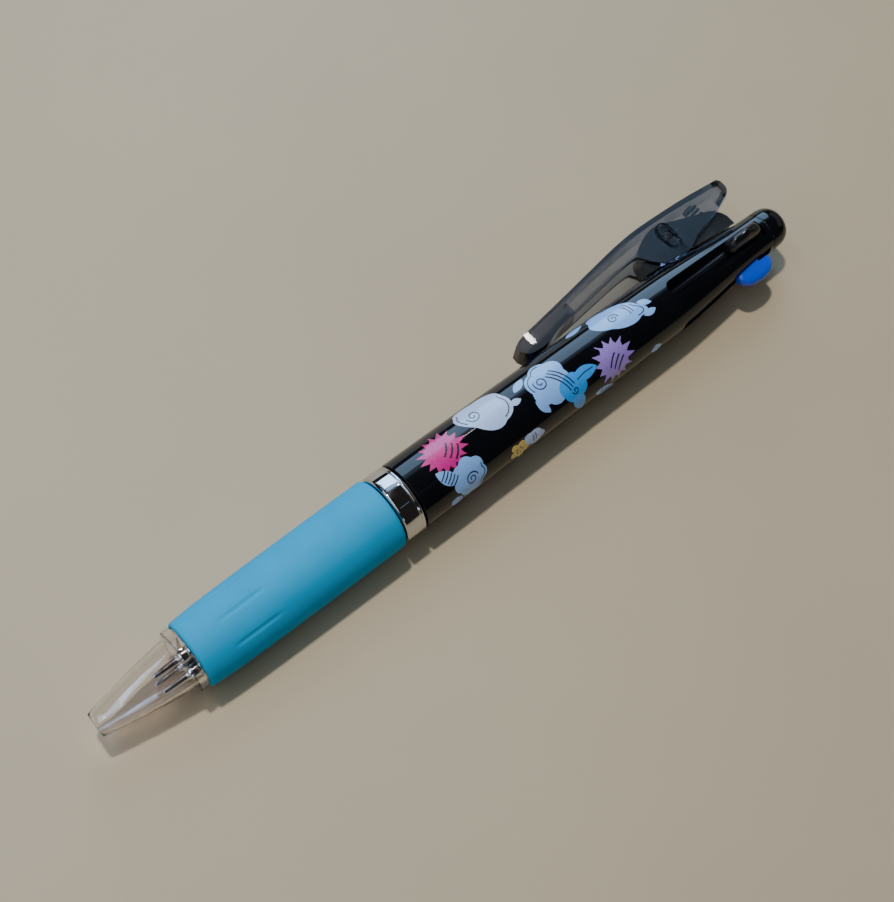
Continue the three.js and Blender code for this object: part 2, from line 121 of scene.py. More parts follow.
def smooth(points, steps):
    """A line through the points, evenly divided between each two of them."""
    ends = [points[0], *points, points[-1]]
    line = []
    for k in range(len(points) - 1):
        p0, p1, p2, p3 = (Vector(p) for p in ends[k:k + 4])
        for i in range(steps):
            t = i / steps
            line.append(tuple(0.5 * (
                2 * p1 + (p2 - p0) * t + (2 * p0 - 5 * p1 + 4 * p2 - p3) * t**2
                + (3 * p1 - p0 - 3 * p2 + p3) * t**3
            )))
    return [*line, tuple(points[-1])]


def eased(points, cut, steps=3, closed=False):
    """The outline with each corner eased over `cut` mm; a point's third number is its own cut."""
    line = []
    for i, point in enumerate(points):
        here = Vector(point[:2])
        own = point[2] if len(point) > 2 else cut
        if own == 0 or (not closed and i in (0, len(points) - 1)):
            line.append(tuple(here))
            continue
        before = Vector(points[i - 1][:2]) - here
        after = Vector(points[(i + 1) % len(points)][:2]) - here
        a = here + before.normalized() * min(own, before.length * 0.48)
        b = here + after.normalized() * min(own, after.length * 0.48)
        for k in range(steps + 1):
            t = k / steps
            line.append(tuple(a.lerp(here, t).lerp(here.lerp(b, t), t)))
    return line


def arc(centre, radius, start, end, steps):
    """Points of an arc; the angles are in degrees."""
    turns = [radians(start + (end - start) * i / steps) for i in range(steps + 1)]
    return [(centre[0] + radius * cos(a), centre[1] + radius * sin(a)) for a in turns]


def at(line, x):
    """The height of a line of (x, height) points at x."""
    for (x0, r0), (x1, r1) in zip(line, line[1:]):
        if x <= x1:
            return r0 + (r1 - r0) * (x - x0) / (x1 - x0)
    return line[-1][1]


BARREL_CURVE = smooth(BARREL_LINE, 6)


def barrel_radius(x):
    """The barrel's outside at x."""
    return at(BARREL_CURVE, x)


# ---- solids ----


def show(name, data):
    """A new object in the scene."""
    shown = bpy.data.objects.new(name, data)
    bpy.context.scene.collection.objects.link(shown)
    return shown


@contextlib.contextmanager
def editing(mesh):
    """The mesh as a bmesh, which is written back at the end."""
    shape = bmesh.new()
    shape.from_mesh(mesh)
    yield shape
    shape.to_mesh(mesh)
    shape.free()


def solid(name, points, faces):
    """A new object in pen millimetres with its faces pointing out."""
    mesh = bpy.data.meshes.new(name)
    mesh.from_pydata([tuple(p) for p in points], [], faces)
    with editing(mesh) as shape:
        bmesh.ops.recalc_face_normals(shape, faces=shape.faces)
    return show(name, mesh)


def turned(name, outline, sides=ROUND, centre=(0.0, 0.0), ring=False):
    """A turned solid about a line along X, from an outline of (x, radius) points."""
    points, rows = [], []
    for x, radius in outline:
        start = len(points)
        if radius < 1e-6:
            points.append((x, *centre))
        else:
            for k in range(sides):
                turn = 2 * pi * k / sides
                points.append((x, centre[0] + radius * sin(turn), centre[1] + radius * cos(turn)))
        rows.append(list(range(start, len(points))))
    pairs = list(zip(rows, rows[1:])) + ([(rows[-1], rows[0])] if ring else [])
    faces = []
    for a, b in pairs:
        for k in range(sides):
            j = (k + 1) % sides
            quad = [a[k % len(a)], a[j % len(a)], b[j % len(b)], b[k % len(b)]]
            faces.append(list(dict.fromkeys(quad)))
    return solid(name, points, faces)


def slab(name, points):
    """A solid between two like rings of points, given one after the other."""
    count = len(points) // 2
    walls = [(k, (k + 1) % count, count + (k + 1) % count, count + k) for k in range(count)]
    return solid(name, points, [*walls, list(range(count)), list(range(count, 2 * count))])


def plate(name, outline, width, upright=False):
    """An outline of (x, height) points made `width` thick: in the clip's plane, or upright."""
    points = [(x, h, side * width / 2) for side in (-1, 1) for x, h in outline]
    if upright:
        points = [(x, -across, h) for x, h, across in points]
    return slab(name, points)


def tube(name, path, radius, sides=12):
    """A round wire along a path, with closed ends."""
    points, faces = [], []
    normal = None
    for k, here in enumerate(path):
        ahead = (Vector(path[min(k + 1, len(path) - 1)]) - Vector(path[max(k - 1, 0)])).normalized()
        normal = ahead.orthogonal() if normal is None else normal - ahead * normal.dot(ahead)
        normal.normalize()
        side = ahead.cross(normal)
        for i in range(sides):
            turn = 2 * pi * i / sides
            points.append(Vector(here) + (normal * cos(turn) + side * sin(turn)) * radius)
    for k in range(len(path) - 1):
        for i in range(sides):
            j = (i + 1) % sides
            faces.append((k * sides + i, k * sides + j, (k + 1) * sides + j, (k + 1) * sides + i))
    faces += [list(range(sides)), list(range(len(points) - sides, len(points)))]
    return solid(name, points, faces)


def coil_path(radius, wire, length, turns):
    """A spring's line from 0 to length, with one dead turn at each end."""
    steps = 28 * turns
    dead = 1 / turns
    rise = length - 4 * wire
    path = []
    for k in range(steps + 1):
        t = k / steps
        live = min(max((t - dead) / (1 - 2 * dead), 0.0), 1.0)
        lift = wire + 2 * wire * (min(t, dead) + max(t - 1 + dead, 0.0)) / dead
        along = lift + (rise - 2 * wire) * live
        turn = 2 * pi * turns * t
        path.append((along, radius * cos(turn), radius * sin(turn)))
    return path


def bake_modifiers(piece):
    """Turns the piece's modifiers into plain mesh."""
    made = piece.evaluated_get(bpy.context.evaluated_depsgraph_get())
    mesh = bpy.data.meshes.new_from_object(made)
    piece.modifiers.clear()
    piece.data = mesh
    return piece


def combine(piece, tool, operation="DIFFERENCE"):
    """Cuts the tool out of the piece, or joins or overlaps the two, and removes the tool."""
    step = piece.modifiers.new("combine", "BOOLEAN")
    step.operation = operation
    step.object = tool
    step.solver = "EXACT"
    bake_modifiers(piece)
    bpy.data.objects.remove(tool)
    return piece


def weld(piece, distance=0.003):
    """Joins points that the cuts left almost on top of each other, so that the mesh is closed."""
    with editing(piece.data) as shape:
        bmesh.ops.remove_doubles(shape, verts=shape.verts, dist=distance)
        bmesh.ops.dissolve_degenerate(shape, edges=shape.edges, dist=distance / 10)


def bevel(piece, width, segments=3):
    """Rounds the piece's sharp edges."""
    step = piece.modifiers.new("bevel", "BEVEL")
    step.limit_method = "ANGLE"
    step.angle_limit = radians(35)
    step.width = width
    step.segments = segments
    step.use_clamp_overlap = True
    return bake_modifiers(piece)


def settle(piece, material, body, replaces=None, turn=0.0, sharp=34, weighted=False):
    """Moves a finished mesh to the row frame and gives it its finish and its body."""
    piece.data.transform(TO_ROW @ Matrix.Rotation(turn, 4, "X"))
    piece.data.shade_smooth()
    piece.data.set_sharp_from_angle(angle=radians(sharp))
    piece.data.materials.clear()
    piece.data.materials.append(material)
    if weighted:
        step = piece.modifiers.new("normals", "WEIGHTED_NORMAL")
        step.keep_sharp = True
        bake_modifiers(piece)
    if body:
        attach(piece, body)
    if replaces:
        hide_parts(replaces)
    return piece


# ---- materials ----


def set_range(node, *numbers):
    """Fills in a Map Range node, from its lower input to its upper output."""
    for key, number in zip(("From Min", "From Max", "To Min", "To Max"), numbers):
        node.inputs[key].default_value = number


class Nodes:
    """A material's node tree, with short calls for the nodes used here."""

    def __init__(self, name):
        self.material = bpy.data.materials.new(name)
        self.material.use_nodes = True
        self.tree = self.material.node_tree
        self.shader = self.tree.nodes["Principled BSDF"]
        self.output = self.tree.nodes["Material Output"]
        self.place = self.add("ShaderNodeTexCoord").outputs["Object"]

    def add(self, kind, **values):
        node = self.tree.nodes.new(kind)
        for key, value in values.items():
            setattr(node, key, value)
        return node

    def link(self, source, target):
        self.tree.links.new(source, target)

    def set(self, **values):
        for key, value in values.items():
            self.shader.inputs[key.replace("_", " ")].default_value = value

    def noise(self, size_mm, detail=3.0, stretch=(1, 1, 1)):
        mapping = self.add("ShaderNodeMapping")
        mapping.inputs["Scale"].default_value = [s / (size_mm * MM) for s in stretch]
        self.link(self.place, mapping.inputs["Vector"])
        node = self.add("ShaderNodeTexNoise")
        node.inputs["Scale"].default_value = 1.0
        node.inputs["Detail"].default_value = detail
        self.link(mapping.outputs["Vector"], node.inputs["Vector"])
        return node.outputs["Fac"]

    def spread(self, value, low, high, start=0.3, end=0.7):
        node = self.add("ShaderNodeMapRange")
        set_range(node, start, end, low, high)
        self.link(value, node.inputs["Value"])
        return node.outputs["Result"]

    def blend(self, share, first, second):
        """Mixes two colours by a share; either can be another node's output."""
        node = self.add("ShaderNodeMix", data_type="RGBA")
        for socket, value in zip([s for s in node.inputs if s.type == "RGBA"], (first, second)):
            if isinstance(value, tuple):
                socket.default_value = (*value, 1)
            else:
                self.link(value, socket)
        self.link(share, node.inputs["Factor"])
        return [s for s in node.outputs if s.type == "RGBA"][0]

    def paint(self, share, first, second):
        """The base colour, mixed by a share."""
        self.link(self.blend(share, first, second), self.shader.inputs["Base Color"])

    def drift(self, size_mm, colour, shade, detail=3.0):
        """A base colour that drifts towards its shade."""
        self.paint(self.spread(self.noise(size_mm, detail), 0, 1), colour, shade)

    def gloss(self, marks, rough):
        self.link(self.spread(marks, *rough), self.shader.inputs["Roughness"])

    def bump(self, height, distance_mm, strength=1.0):
        node = self.add("ShaderNodeBump")
        node.inputs["Distance"].default_value = distance_mm * MM
        node.inputs["Strength"].default_value = strength
        self.link(height, node.inputs["Height"])
        self.link(node.outputs["Normal"], self.shader.inputs["Normal"])

    def clear_shadow(self, tint):
        """Light passes to the table through the clear wall: shadow rays see a tinted pane."""
        path = self.add("ShaderNodeLightPath")
        pane = self.add("ShaderNodeBsdfTransparent")
        pane.inputs["Color"].default_value = (*tint, 1)
        mix = self.add("ShaderNodeMixShader")
        self.link(path.outputs["Is Shadow Ray"], mix.inputs["Fac"])
        self.link(self.shader.outputs["BSDF"], mix.inputs[1])
        self.link(pane.outputs["BSDF"], mix.inputs[2])
        self.link(mix.outputs["Shader"], self.output.inputs["Surface"])


def plastic(name, colour, shade, rough, grain_mm=0.25, depth_mm=0.004, coat=0.0, ior=1.5):
    """A moulded plastic: a slow drift of colour, handling marks in its gloss and a fine grain."""
    nodes = Nodes(name)
    nodes.drift(9, colour, shade)
    nodes.gloss(nodes.noise(2.2, 6, (0.35, 1, 1)), rough)
    nodes.bump(nodes.noise(grain_mm, 4), depth_mm)
    nodes.set(Coat_Weight=coat, Coat_Roughness=0.03, IOR=ior)
    return nodes.material


def metal(name, colour, shade, rough, stretch, depth_mm):
    """A metal with fine tool marks, stretched along or round the piece."""
    nodes = Nodes(name)
    nodes.drift(4, colour, shade)
    marks = nodes.noise(0.3, 5, stretch)
    nodes.gloss(marks, rough)
    nodes.bump(marks, depth_mm)
    nodes.set(Metallic=1.0)
    return nodes.material


def clear_plastic(name, tint, shade, rough, shadow, depth_mm, depth_tint=None):
    """A polished clear moulding: faint flow waves, and a tint that drifts a little."""
    nodes = Nodes(name)
    nodes.drift(7, tint, shade)
    nodes.gloss(nodes.noise(1.6, 5), rough)
    nodes.bump(nodes.noise(3.5, 2, (0.4, 1, 1)), depth_mm)
    nodes.set(Transmission_Weight=1.0, IOR=1.49)
    nodes.clear_shadow(shadow)
    if depth_tint:
        soak = nodes.add("ShaderNodeVolumeAbsorption")
        soak.inputs["Color"].default_value = (*depth_tint[0], 1)
        soak.inputs["Density"].default_value = depth_tint[1]
        nodes.link(soak.outputs["Volume"], nodes.output.inputs["Volume"])
    return nodes.material


def rubber(name, colour, shade, dust):
    """Soft grip rubber: mottled, a little paler where it is rubbed, with a pored matt skin."""
    nodes = Nodes(name)
    mottle = nodes.spread(nodes.noise(5, 5), 0, 1)
    base = nodes.blend(mottle, colour, shade)
    rubbed = nodes.spread(nodes.noise(1.1, 6, (0.3, 1, 1)), 0, 0.22, 0.55, 0.8)
    nodes.paint(rubbed, base, dust)
    nodes.gloss(nodes.noise(1.4, 5), (0.58, 0.74))
    nodes.bump(nodes.noise(0.14, 3), 0.012, 0.6)
    nodes.set(Specular_IOR_Level=0.18)
    return nodes.material


def printed(name, colour, shade):
    """Printed ink: a fine screen grain, slightly uneven, under the barrel's lacquer."""
    nodes = Nodes(name)
    nodes.drift(0.18, colour, shade)
    nodes.gloss(nodes.noise(1.2, 4), (0.22, 0.36))
    nodes.bump(nodes.noise(0.12, 2), 0.002)
    nodes.set(Coat_Weight=0.5, Coat_Roughness=0.08)
    return nodes.material


CLEAR = clear_plastic(
    "clear_plastic", (0.97, 0.945, 0.95), (0.94, 0.915, 0.92), (0.015, 0.06),
    (0.34, 0.30, 0.28), 0.02,
)
SMOKE = clear_plastic(
    "smoke_plastic", (0.84, 0.845, 0.86), (0.78, 0.785, 0.80), (0.01, 0.035),
    (0.38, 0.38, 0.4), 0.012, ((0.41, 0.45, 0.57), 600),
)
REFILL = clear_plastic(
    "refill_plastic", (0.86, 0.88, 0.86), (0.8, 0.82, 0.8), (0.2, 0.34), (0.6, 0.6, 0.6), 0.01
)
GRIP = rubber("grip_rubber", (0.0, 0.38, 0.66), (0.0, 0.35, 0.62), (0.0, 0.42, 0.70))
CHROME = metal("chrome", (0.66, 0.66, 0.67), (0.60, 0.60, 0.61), (0.04, 0.1), (0.15, 1, 1), 0.0006)
TIP_STEEL = metal(
    "tip_steel", (0.80, 0.80, 0.84), (0.72, 0.72, 0.76), (0.08, 0.16), (1.4, 0.3, 0.3), 0.002
)
STEEL = metal("steel", (0.56, 0.57, 0.59), (0.46, 0.47, 0.49), (0.22, 0.36), (0.3, 1, 1), 0.002)
DARK_STEEL = metal(
    "dark_steel", (0.10, 0.105, 0.11), (0.07, 0.075, 0.08), (0.3, 0.42), (0.3, 1, 1), 0.002
)
BLACK_GLOSS = plastic(
    "black_gloss", (0.003, 0.0032, 0.0045), (0.0045, 0.005, 0.0065), (0.05, 0.12),
    0.6, 0.0006, 0, 1.45,
)
BLACK_MATT = plastic(
    "black_matt", (0.016, 0.017, 0.019), (0.026, 0.027, 0.03), (0.34, 0.5), 0.2, 0.008
)
MOUNT_BLACK = plastic(
    "mount_black", (0.012, 0.015, 0.016), (0.022, 0.026, 0.028), (0.16, 0.3), 0.3, 0.004
)
WHITE = plastic("white_plastic", (0.74, 0.74, 0.71), (0.66, 0.66, 0.63), (0.36, 0.5), 0.25, 0.006)
KNOBS = {
    "black": plastic(
        "black_knob", (0.004, 0.004, 0.006), (0.007, 0.008, 0.01), (0.2, 0.28), 0.5, 0.0006
    ),
    "blue": plastic(
        "blue_knob", (0.004, 0.062, 0.58), (0.008, 0.085, 0.68), (0.18, 0.32), 0.3, 0.003, 0.2
    ),
    "red": plastic(
        "red_knob", (0.6, 0.016, 0.02), (0.7, 0.03, 0.03), (0.18, 0.32), 0.3, 0.003, 0.2
    ),
}
INKS = {
    "black": plastic("black_ink", (0.008, 0.008, 0.011), (0.014, 0.014, 0.02), (0.1, 0.2)),
    "blue": plastic("blue_ink", (0.008, 0.02, 0.3), (0.012, 0.035, 0.42), (0.1, 0.2)),
    "red": plastic("red_ink", (0.34, 0.008, 0.008), (0.46, 0.014, 0.012), (0.1, 0.2)),
}
PRINTS = {
    "white": printed("print_white", (0.27, 0.52, 0.98), (0.24, 0.47, 0.92)),
    "cream": printed("print_cream", (0.50, 0.64, 0.94), (0.45, 0.59, 0.88)),
    "sky": printed("print_sky", (0.035, 0.36, 0.88), (0.028, 0.31, 0.80)),
    "pink": printed("print_pink", (0.66, 0.018, 0.24), (0.58, 0.012, 0.20)),
    "purple": printed("print_purple", (0.38, 0.24, 0.68), (0.33, 0.20, 0.60)),
    "yellow": printed("print_yellow", (0.78, 0.58, 0.12), (0.70, 0.50, 0.09)),
    "line": printed("print_line", (0.012, 0.012, 0.018), (0.02, 0.02, 0.028)),
}

# ---- front of the pen ----

GRIP_TUBE_R = 5.0
NOSE_END = 15.2
FLANGE_END = 16.6


def clear_front():
    """Nose, flange and grip tube in one clear moulding."""
    nose = [(0.35, 2.13), (4, 2.85), (8, 3.53), (12, 4.12), (NOSE_END - 0.1, 4.49)]
    outline = [
        *eased([(0.9, 1.58), (0, 1.58), (0, 2.04), nose[0]], 0.14, 4),
        *smooth(nose, 7)[1:],
        *eased([
            (NOSE_END, 4.5), (NOSE_END, 5.4), (FLANGE_END, 5.4), (FLANGE_END, GRIP_TUBE_R),
            (RING_START - 0.2, GRIP_TUBE_R), (RING_START - 0.2, 4.5), (CLEAR_END, 4.5),
            (CLEAR_END, 3.8),
        ], 0.16),
        *smooth([(14.6, 3.8), (11, 3.43), (7, 2.93), (4.6, 2.55)], 6),
        (2.6, 2.05),
    ]
    piece = turned("clear_front", outline, ring=True)
    settle(piece, CLEAR, "barrel", "front_barrel", sharp=28)


GRIP_SKIN_R = 5.5  # the grip's outside lies farther out than this
FLUTES = 8
FLUTE_MIDDLE = 26.75
FLUTE_HALF = 4.4
FLUTE_DEPTH = 0.17
FLUTE_HALF_ANGLE = 5.5


def grip_dent(x, degrees):
    """How far a flute sinks the grip's surface: long shallow grooves, soft at their ends."""
    pitch = 360 / FLUTES
    off = abs((degrees + pitch / 2) % pitch - pitch / 2) / FLUTE_HALF_ANGLE
    along = abs(x - FLUTE_MIDDLE) / FLUTE_HALF
    if off >= 1 or along >= 1:
        return 0.0
    return FLUTE_DEPTH * cos(off * pi / 2) ** 2 * (1 - along**6)


def grip():
    """The sleeve's skin is laid out round by round, so that the flutes can sink into it."""
    body = smooth([
        (GRIP_START + 1.1, 5.78), (20, 5.93), (24, 6.06), (30, 6.15), (38, 6.21), (46, 6.25),
        (GRIP_END - 1.0, GRIP_R),
    ], 16)
    front = arc((GRIP_START + 0.7, 5.12), 0.7, 180, 118, 6)
    back = arc((GRIP_END - 0.8, GRIP_R - 0.8), 0.8, 75, 0, 6)
    skin = [*front, *body, *back]
    outline = [(GRIP_START, SLEEVE_BORE_R), *skin, (GRIP_END, SLEEVE_BORE_R)]
    sides = 2 * ROUND
    piece = turned("grip_sleeve_soft", outline, sides, ring=True)
    for vertex in piece.data.vertices:
        x, y, z = vertex.co
        radius = math.hypot(y, z)
        if radius > GRIP_SKIN_R:
            scale = 1 - grip_dent(x, math.degrees(math.atan2(y, z))) / radius
            vertex.co = (x, y * scale, z * scale)
    settle(piece, GRIP, "barrel", "grip_sleeve", sharp=40)


def ring():
    """The chrome ring, with a bead at its rear edge."""
    outline = eased([
        (RING_START, SLEEVE_BORE_R, 0), (RING_START, RING_R - 0.3),
        (RING_START + 0.3, RING_R - 0.02), (RING_END - 0.62, RING_R - 0.02),
        (RING_END - 0.52, RING_R - 0.16),
        (RING_END - 0.42, RING_R - 0.02), (RING_END - 0.24, RING_R),
        (RING_END - 0.04, RING_R - 0.04), (RING_END, RING_R - 0.2), (RING_END, SLEEVE_BORE_R, 0),
    ], 0.1, closed=True)
    settle(turned("chrome_band", outline, ring=True), CHROME, "barrel", "chrome_ring")


def coupling():
    """The sleeve that joins the clear tube to the barrel."""
    start, end = span("threaded_coupling")
    outline = eased([
        (start, 4.56), (start, 5), (RING_END + 0.1, 5), (RING_END + 0.1, 5.5),
        (BARREL_START - 0.1, 5.5), (BARREL_START - 0.1, 5), (end, 5), (end, 4.56),
    ], 0.06, 2, closed=True)
    piece = turned("coupling_sleeve", outline, ring=True)
    settle(piece, BLACK_MATT, "barrel", "threaded_coupling")


# ---- rear of the pen ----


def slot_cutter(turn):
    """Cuts a knob's slot through the barrel's wall."""
    half = SLOT_WIDTH / 2
    front = arc((SLOT_START + half, 0), half, 90, 270, 20)
    outline = [*front, (SLOT_END, -half), (SLOT_END, half)]
    tool = slab("slot", [(x, side, z) for z in (1.0, 2 * BARREL_R) for x, side in outline])
    tool.data.transform(Matrix.Rotation(turn, 4, "X"))
    return tool


def round_normals(piece, line, near=0.08, facing=0.93):
    """Turns the outside's normals straight out from the axis, so the gloss passes the slots."""
    mesh = piece.data
    normals = []
    for face in mesh.polygons:
        for index in face.loop_indices:
            x, y, z = mesh.vertices[mesh.loops[index].vertex_index].co
            radius = math.hypot(y, z)
            slope = at(line, x + 0.5) - at(line, x - 0.5)
            outward = Vector((-slope, y / radius, z / radius)).normalized()
            outside = abs(radius - at(line, x)) < near and outward.dot(face.normal) > facing
            normals.append(outward if outside else mesh.corner_normals[index].vector.copy())
    mesh.normals_split_custom_set(normals)


def barrel():
    """The glossy barrel with its three slots."""
    lip = eased([
        (BARREL_START, SLEEVE_BORE_R), (BARREL_START, BARREL_R - 0.3),
        (BARREL_START + 0.12, BARREL_R - 0.06), BARREL_CURVE[0],
    ], 0.08)
    inside = [
        (BARREL_END, 3.05), (137, 3.05), (131, 3.5), (124, 4.15), (116, 4.6), (110, 4.8),
        (106, 4.9), (66, 4.9), (66, SLEEVE_BORE_R),
    ]
    rear = eased([BARREL_CURVE[-2], (BARREL_END, 3.8), inside[0]], 0.05)[1:-1]
    piece = turned("barrel_shell", [*lip, *BARREL_CURVE[1:-1], *rear, *inside], ring=True)
    for turn in COLOURS.values():
        combine(piece, slot_cutter(turn))
    weld(piece)
    piece.data.shade_smooth()
    piece.data.set_sharp_from_angle(angle=radians(30))
    round_normals(piece, BARREL_CURVE)
    normals = [corner.vector.copy() for corner in piece.data.corner_normals]
    settle(piece, BLACK_GLOSS, "barrel", "rear_barrel", sharp=30)
    piece.data.normals_split_custom_set(normals)


CAP_R = 3.8
CAP_EDGE = 0.8  # how far the cap runs straight before its dome
DOME_STEPS = 28


def end_cap():
    """The rounded black cap, with a fine gap to the barrel."""
    start = BARREL_END + 0.08
    dome = PEN_END - start
    rounding = []
    for k in range(DOME_STEPS + 1):
        turn = pi / 2 * k / DOME_STEPS
        x = start + CAP_EDGE + (dome - CAP_EDGE) * sin(turn) ** 0.7
        rounding.append((x, CAP_R * max(cos(turn), 0.0) ** 0.7))
    rounding[-1] = (PEN_END, 0.0)
    outline = [
        (139.3, 0.0), (139.3, 1.05), (CAP_START, 1.05), (CAP_START, 2.9), (start, 2.9),
        (start, 3.74), (start + 0.06, 3.79), (start + 0.14, CAP_R), *rounding,
    ]
    settle(turned("end_dome", outline), BLACK_GLOSS, "barrel", "end_cap")


# ---- one colour, drawn above the axis and turned to its place ----

KNOB_BASE = 4.2
KNOB_LENGTH = 7.8
KNOB_HALF_WIDTH = 1.25
KNOB_BUMPS = {"black": (0.5, 1.3), "blue": (0.1, 0.4), "red": (0.1, 0.4)}  # height, spread
BUMP_PLACES = (-2.6, 0.2)  # along the pen from the knob's middle
FLANGE_X = 112.0  # the rod's flange
ROD_END = 136.8


def knob(name, colour):
    """A cushion-shaped thumb piece with two grip bumps."""
    start, end, top = knob_span()
    middle, half = (start + end) / 2, (end - start) / 2
    bump_height, bump_spread = KNOB_BUMPS[colour]
    rise = top - KNOB_BASE - bump_height
    columns, rounds = 72, 32
    points = []
    for k in range(columns + 1):
        t = -cos(pi * k / columns)
        height = rise * max(1 - abs(t) ** 2.5, 0) ** (1 / 2.5)
        width = KNOB_HALF_WIDTH * max(1 - abs(t) ** 5, 0) ** (1 / 5)
        for i in range(rounds + 1):
            a = pi * i / rounds
            y = width * math.copysign(abs(cos(a)) ** 0.8, cos(a))
            z = height * sin(a) ** 0.8
            for bump in BUMP_PLACES:
                far = (t * half - bump) ** 2 + y * y
                z += bump_height * math.exp(-far / bump_spread) * sin(a)
            points.append((middle + t * half, y, KNOB_BASE + z))
    row = rounds + 1
    faces = []
    for k in range(columns):
        for i in range(rounds):
            faces.append((k * row + i, k * row + i + 1, (k + 1) * row + i + 1, (k + 1) * row + i))
        faces.append((k * row, (k + 1) * row, (k + 1) * row + rounds, k * row + rounds))
    piece = solid(name, points, faces)
    with editing(piece.data) as shape:
        bmesh.ops.remove_doubles(shape, verts=shape.verts, dist=1e-5)
        bmesh.ops.recalc_face_normals(shape, faces=shape.faces)
    return piece


def knob_span():
    """The thumb piece's ends and top, from the black slider's node."""
    _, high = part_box("slider_black")
    end = (high.x - NOSE.x) / MM
    return end - KNOB_LENGTH, end, (high.z - NOSE.z) / MM


def slider(colour, turn):
    """The knob, its stem and the rod that pushes the refill, in one moulding."""
    start, end, _ = knob_span()
    front, _ = span(f"slider_{colour}")
    rod = turned("rod", eased([
        (front, 0, 0), (front, 0.62), (front + 0.5, 0.72), (FLANGE_X, 0.72, 0), (FLANGE_X, 1.4),
        (FLANGE_X + 1, 1.4), (FLANGE_X + 1, 0.9), (ROD_END, 0.9), (ROD_END, 0, 0),
    ], 0.1), SLIM, (0, REFILL_OFFSET))
    stem = plate("stem", [
        (start + 0.7, REFILL_OFFSET), (start + 0.7, KNOB_BASE + 0.4), (end - 2.5, KNOB_BASE + 0.4),
        (end - 2.5, REFILL_OFFSET),
    ], 2.5, upright=True)
    bevel(stem, 0.2)
    piece = combine(knob(f"thumb_slider_{colour}", colour), stem, "UNION")
    combine(piece, rod, "UNION")
    settle(piece, KNOBS[colour], f"slider_{colour}", f"slider_{colour}", turn, 50)


TIP_FRONT = 10.4
BALL_R = 0.35
COLLAR_START = 15.2
COLLAR_END = 17.6


def point(colour, turn):
    """The metal point with its wide collar, and the ball in its nose."""
    outline = eased([
        (TIP_FRONT + 0.75, 0, 0), (TIP_FRONT + 0.45, 0.34), (TIP_FRONT + 0.3, 0.38),
        (TIP_FRONT + 1.7, 0.5), (COLLAR_START - 0.9, 0.64), (COLLAR_START - 0.5, 0.66),
        (COLLAR_START - 0.1, 0.86), (COLLAR_START, 1.02),
        (COLLAR_START + 0.4, 1.1), (COLLAR_START + 1.5, 1.1), (COLLAR_START + 1.6, 1.0),
        (COLLAR_START + 1.8, 1.0), (COLLAR_START + 1.9, 1.1), (COLLAR_END, 1.1), (COLLAR_END, 0, 0),
    ], 0.08)
    tip = turned(f"metal_point_{colour}", outline, SLIM, (0, REFILL_OFFSET))
    body = f"point_{colour}"
    settle(tip, TIP_STEEL, body, f"refill_tip_{colour}", turn)
    ball_line = [
        (TIP_FRONT + BALL_R - (BALL_R - 0.02) * cos(pi * k / 16),
         (BALL_R - 0.02) * sin(pi * k / 16)) for k in range(17)
    ]
    ball = turned(f"writing_ball_{colour}", ball_line, 24, (0, REFILL_OFFSET))
    settle(ball, TIP_STEEL, body, f"refill_ball_{colour}", turn)


HOSE_R, HOSE_BORE_R, INK_R = 1.1, 0.8, 0.74


def refill(colour, turn):
    """The plastic tube and its ink between the slider and the point, drawn straight."""
    _, tube_end = span(f"refill_tube_{colour}")
    _, ink_end = span(f"refill_ink_{colour}")
    stations = [COLLAR_END + 2.0 * k for k in range(1, 45)]
    along = [x for x in stations if x < tube_end - 0.5]
    outside = [(COLLAR_END + 0.02, 1.0), (COLLAR_END + 0.2, HOSE_R)]
    outside += [(x, HOSE_R) for x in along]
    outside += [(tube_end - 0.1, HOSE_R), (tube_end, 1.02), (tube_end, HOSE_BORE_R)]
    bore = [(x, HOSE_BORE_R) for x in reversed(along)]
    hose = turned(f"refill_hose_{colour}", [*outside, *bore, (COLLAR_END + 0.02, HOSE_BORE_R)],
                  SLIM, (0, REFILL_OFFSET), ring=True)
    start = COLLAR_END + 0.3
    column = [(start, 0.0), (start, INK_R)]
    column += [(x, INK_R) for x in stations if start < x < ink_end - 0.4]
    column += [(ink_end - 0.2, INK_R), (ink_end, 0.6), (ink_end - 0.15, 0.3), (ink_end - 0.2, 0.0)]
    ink = turned(f"ink_column_{colour}", column, 24, (0, REFILL_OFFSET))
    settle(hose, REFILL, None, f"refill_tube_{colour}", turn)
    settle(ink, INKS[colour], None, f"refill_ink_{colour}", turn)
    for piece in (hose, ink):
        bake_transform(piece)


SPRING_WIRE = 0.13


def return_spring(colour, turn):
    """The coil round the refill, as long as its CAD node."""
    start, end = span(f"return_spring_{colour}")
    line = coil_path(1.35, SPRING_WIRE, end - start, 10)
    path = [(start + x, y, REFILL_OFFSET + z) for x, y, z in line]
    piece = tube(f"return_coil_{colour}", path, SPRING_WIRE)
    settle(piece, STEEL, "barrel", f"return_spring_{colour}", turn)
    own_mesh(piece)


# ---- clip ----

